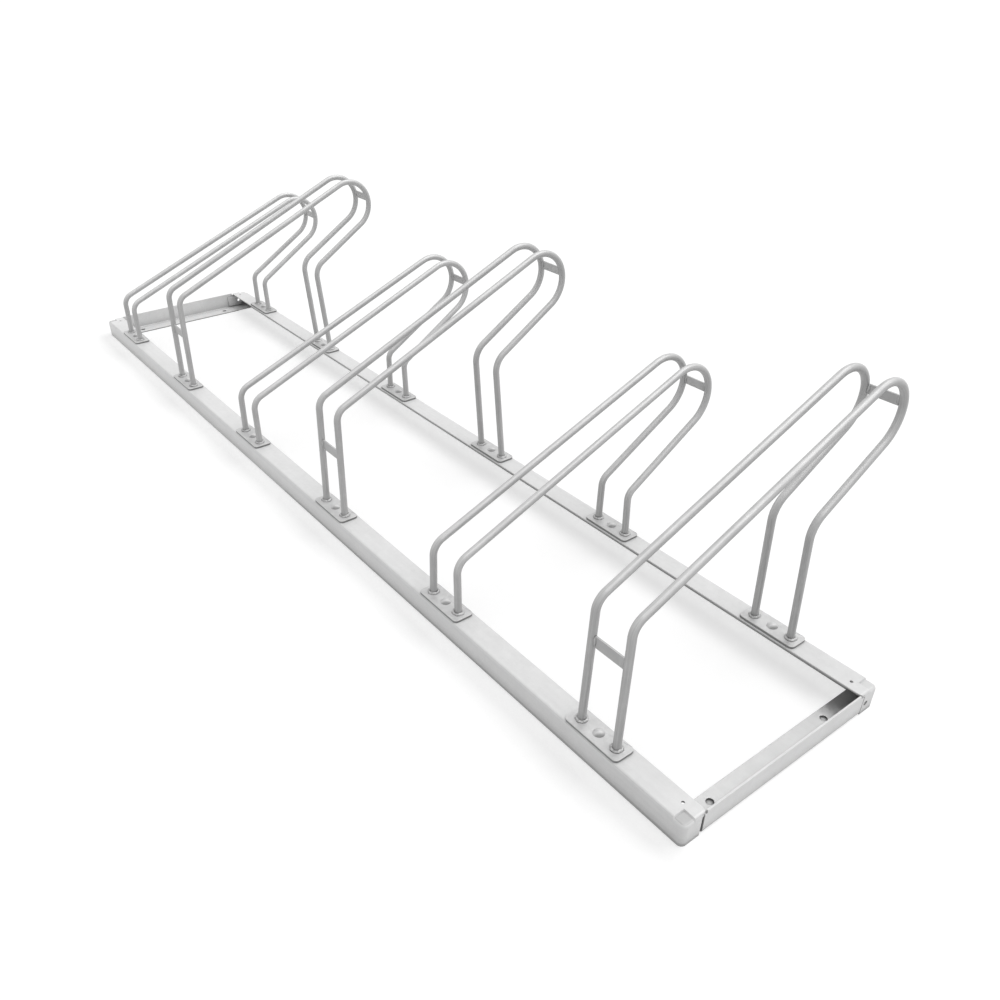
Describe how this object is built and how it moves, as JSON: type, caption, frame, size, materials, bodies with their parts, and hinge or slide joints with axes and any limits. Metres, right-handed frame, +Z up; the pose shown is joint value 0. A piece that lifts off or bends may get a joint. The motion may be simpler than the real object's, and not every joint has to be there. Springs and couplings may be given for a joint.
{
  "type": "floor bike rack",
  "caption": "Floor-standing bicycle rack: a folded galvanised sheet frame carries a row of alternating low and tall wheel holders bent from round bar.",
  "frame": {"origin": "centre of the four floor anchor holes, on the floor under the frame", "axes": "+X along the rails towards the end with the tall holder, +Y from the front rail to the rear rail, where the holders' rear ends overhang, +Z up"},
  "size_m": [2.09, 0.5619, 0.4339],
  "materials": {
    "zinc_sheet": "hot-dip galvanised folded sheet, matt",
    "zinc_rod": "hot-dip galvanised round bar, matt",
    "zinc_plate": "hot-dip galvanised flat plate with weld collars",
    "zinc_bolt": "galvanised bolts, nuts and washers"
  },
  "bodies": {
    "root": {"front_rail": "zinc_sheet", "rear_rail": "zinc_sheet", "left_cross_member": "zinc_sheet", "right_cross_member": "zinc_sheet", "holder_1_left_rod": "zinc_rod", "holder_1_right_rod": "zinc_rod", "holder_1_front_plate": "zinc_plate", "holder_1_rear_plate": "zinc_plate", "holder_1_top_tie": "zinc_rod", "holder_2_left_rod": "zinc_rod", "holder_2_right_rod": "zinc_rod", "holder_2_front_plate": "zinc_plate", "holder_2_rear_plate": "zinc_plate", "holder_2_top_tie": "zinc_rod", "holder_2_front_tie": "zinc_rod", "holder_3_left_rod": "zinc_rod", "holder_3_right_rod": "zinc_rod", "holder_3_front_plate": "zinc_plate", "holder_3_rear_plate": "zinc_plate", "holder_3_top_tie": "zinc_rod", "holder_4_left_rod": "zinc_rod", "holder_4_right_rod": "zinc_rod", "holder_4_front_plate": "zinc_plate", "holder_4_rear_plate": "zinc_plate", "holder_4_top_tie": "zinc_rod", "holder_4_front_tie": "zinc_rod", "holder_5_left_rod": "zinc_rod", "holder_5_right_rod": "zinc_rod", "holder_5_front_plate": "zinc_plate", "holder_5_rear_plate": "zinc_plate", "holder_5_top_tie": "zinc_rod", "holder_6_left_rod": "zinc_rod", "holder_6_right_rod": "zinc_rod", "holder_6_front_plate": "zinc_plate", "holder_6_rear_plate": "zinc_plate", "holder_6_top_tie": "zinc_rod", "holder_6_front_tie": "zinc_rod", "plate_bolts": "zinc_bolt", "plate_washers": "zinc_bolt", "plate_nuts": "zinc_bolt"}
  },
  "joints": []
}
